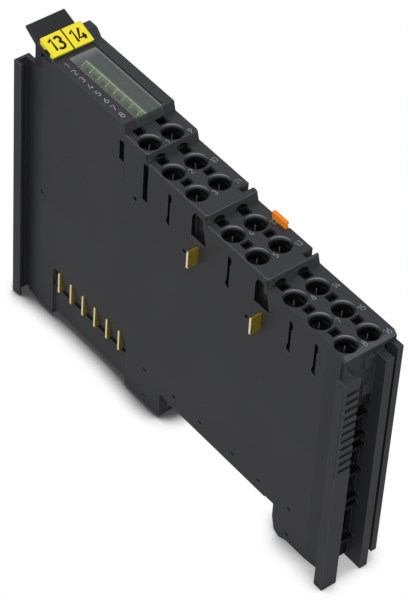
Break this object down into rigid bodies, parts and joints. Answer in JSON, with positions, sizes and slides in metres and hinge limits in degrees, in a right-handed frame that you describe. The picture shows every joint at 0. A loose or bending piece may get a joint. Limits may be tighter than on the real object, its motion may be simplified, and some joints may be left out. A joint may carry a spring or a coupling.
{
  "type": "digital input module",
  "caption": "Slim charcoal rail-mounted input module with a stepped terminal front, lamp window, yellow markers, orange release tab and side contacts.",
  "frame": {"origin": "middle of the rail seat: mid-width of the mounting rail, mid-width of the module, on the plane of the rail's front face", "axes": "+X along the module towards the terminal end; +Y along the rail towards the cover side; +Z out of the front, away from the rail"},
  "size_m": [0.1, 0.0144, 0.0698],
  "materials": {
    "housing_plastic": "fine-textured charcoal moulding",
    "clear_window": "smoked clear",
    "guide_plastic": "clear yellow-green moulding",
    "board_green": "solder mask",
    "chip_black": "epoxy",
    "capacitor_can": "drawn",
    "insulator_plastic": "moulded",
    "gold_contact": "gold plated",
    "brass_contact": "bright strip",
    "tinned_copper": "tinned",
    "spring_steel": "rolled strip",
    "carrier_plastic": "moulded",
    "marker_plastic": "moulded yellow",
    "tab_plastic": "moulded orange",
    "lamp_plastic": "clear lens on white"
  },
  "bodies": {
    "module": {"housing_shell": "housing_plastic", "side_cover": "housing_plastic", "led_window": "clear_window", "light_guide": "guide_plastic", "lamp_board": "board_green", "circuit_board": "board_green", "logic_chip": "chip_black", "optocouplers": "chip_black", "input_resistors": "chip_black", "capacitor": "capacitor_can", "data_insulator": "insulator_plastic", "data_pads": "gold_contact", "power_contact_1": "brass_contact", "power_contact_2": "brass_contact", "contact_bars_near": "tinned_copper", "contact_bars_far": "tinned_copper", "return_spring": "tab_plastic", "terminal_face_1": "housing_plastic", "terminal_face_2": "housing_plastic", "terminal_face_3": "housing_plastic", "terminal_face_4": "housing_plastic", "status_lamp_1": "lamp_plastic", "status_lamp_2": "lamp_plastic", "status_lamp_3": "lamp_plastic", "status_lamp_4": "lamp_plastic", "status_lamp_5": "lamp_plastic", "status_lamp_6": "lamp_plastic", "status_lamp_7": "lamp_plastic", "status_lamp_8": "lamp_plastic", "data_contact_1": "gold_contact", "data_contact_2": "gold_contact", "data_contact_3": "gold_contact", "data_contact_4": "gold_contact", "data_contact_5": "gold_contact", "data_contact_6": "gold_contact", "clamp_spring_01": "spring_steel", "clamp_spring_02": "spring_steel", "clamp_spring_03": "spring_steel", "clamp_spring_04": "spring_steel", "clamp_spring_05": "spring_steel", "clamp_spring_06": "spring_steel", "clamp_spring_07": "spring_steel", "clamp_spring_08": "spring_steel", "clamp_spring_09": "spring_steel", "clamp_spring_10": "spring_steel", "clamp_spring_11": "spring_steel", "clamp_spring_12": "spring_steel", "clamp_spring_13": "spring_steel", "clamp_spring_14": "spring_steel", "clamp_spring_15": "spring_steel", "clamp_spring_16": "spring_steel"},
    "marker_slide": {"marker_carrier": "carrier_plastic", "marker_near": "marker_plastic", "marker_far": "marker_plastic"},
    "release": {"release_tab": "tab_plastic"},
    "latch": {"rail_latch": "tab_plastic"}
  },
  "joints": [
    {"name": "marker_lift", "type": "slide", "parent": "module", "child": "marker_slide", "axis": [0, 0, 1], "range_m": [0, 0.022]},
    {"name": "tab_pull", "type": "slide", "parent": "module", "child": "release", "axis": [0, 0, 1], "range_m": [0, 0.003], "stiffness_N_per_m": 600, "springref_m": -0.002, "deforming": ["return_spring"]},
    {"name": "latch_draw", "type": "slide", "parent": "module", "child": "latch", "axis": [1, 0, 0], "range_m": [0, 0.0024]}
  ],
  "couplings": [
    {"joint": "latch_draw", "follows": "tab_pull", "ratio": 0.8}
  ]
}
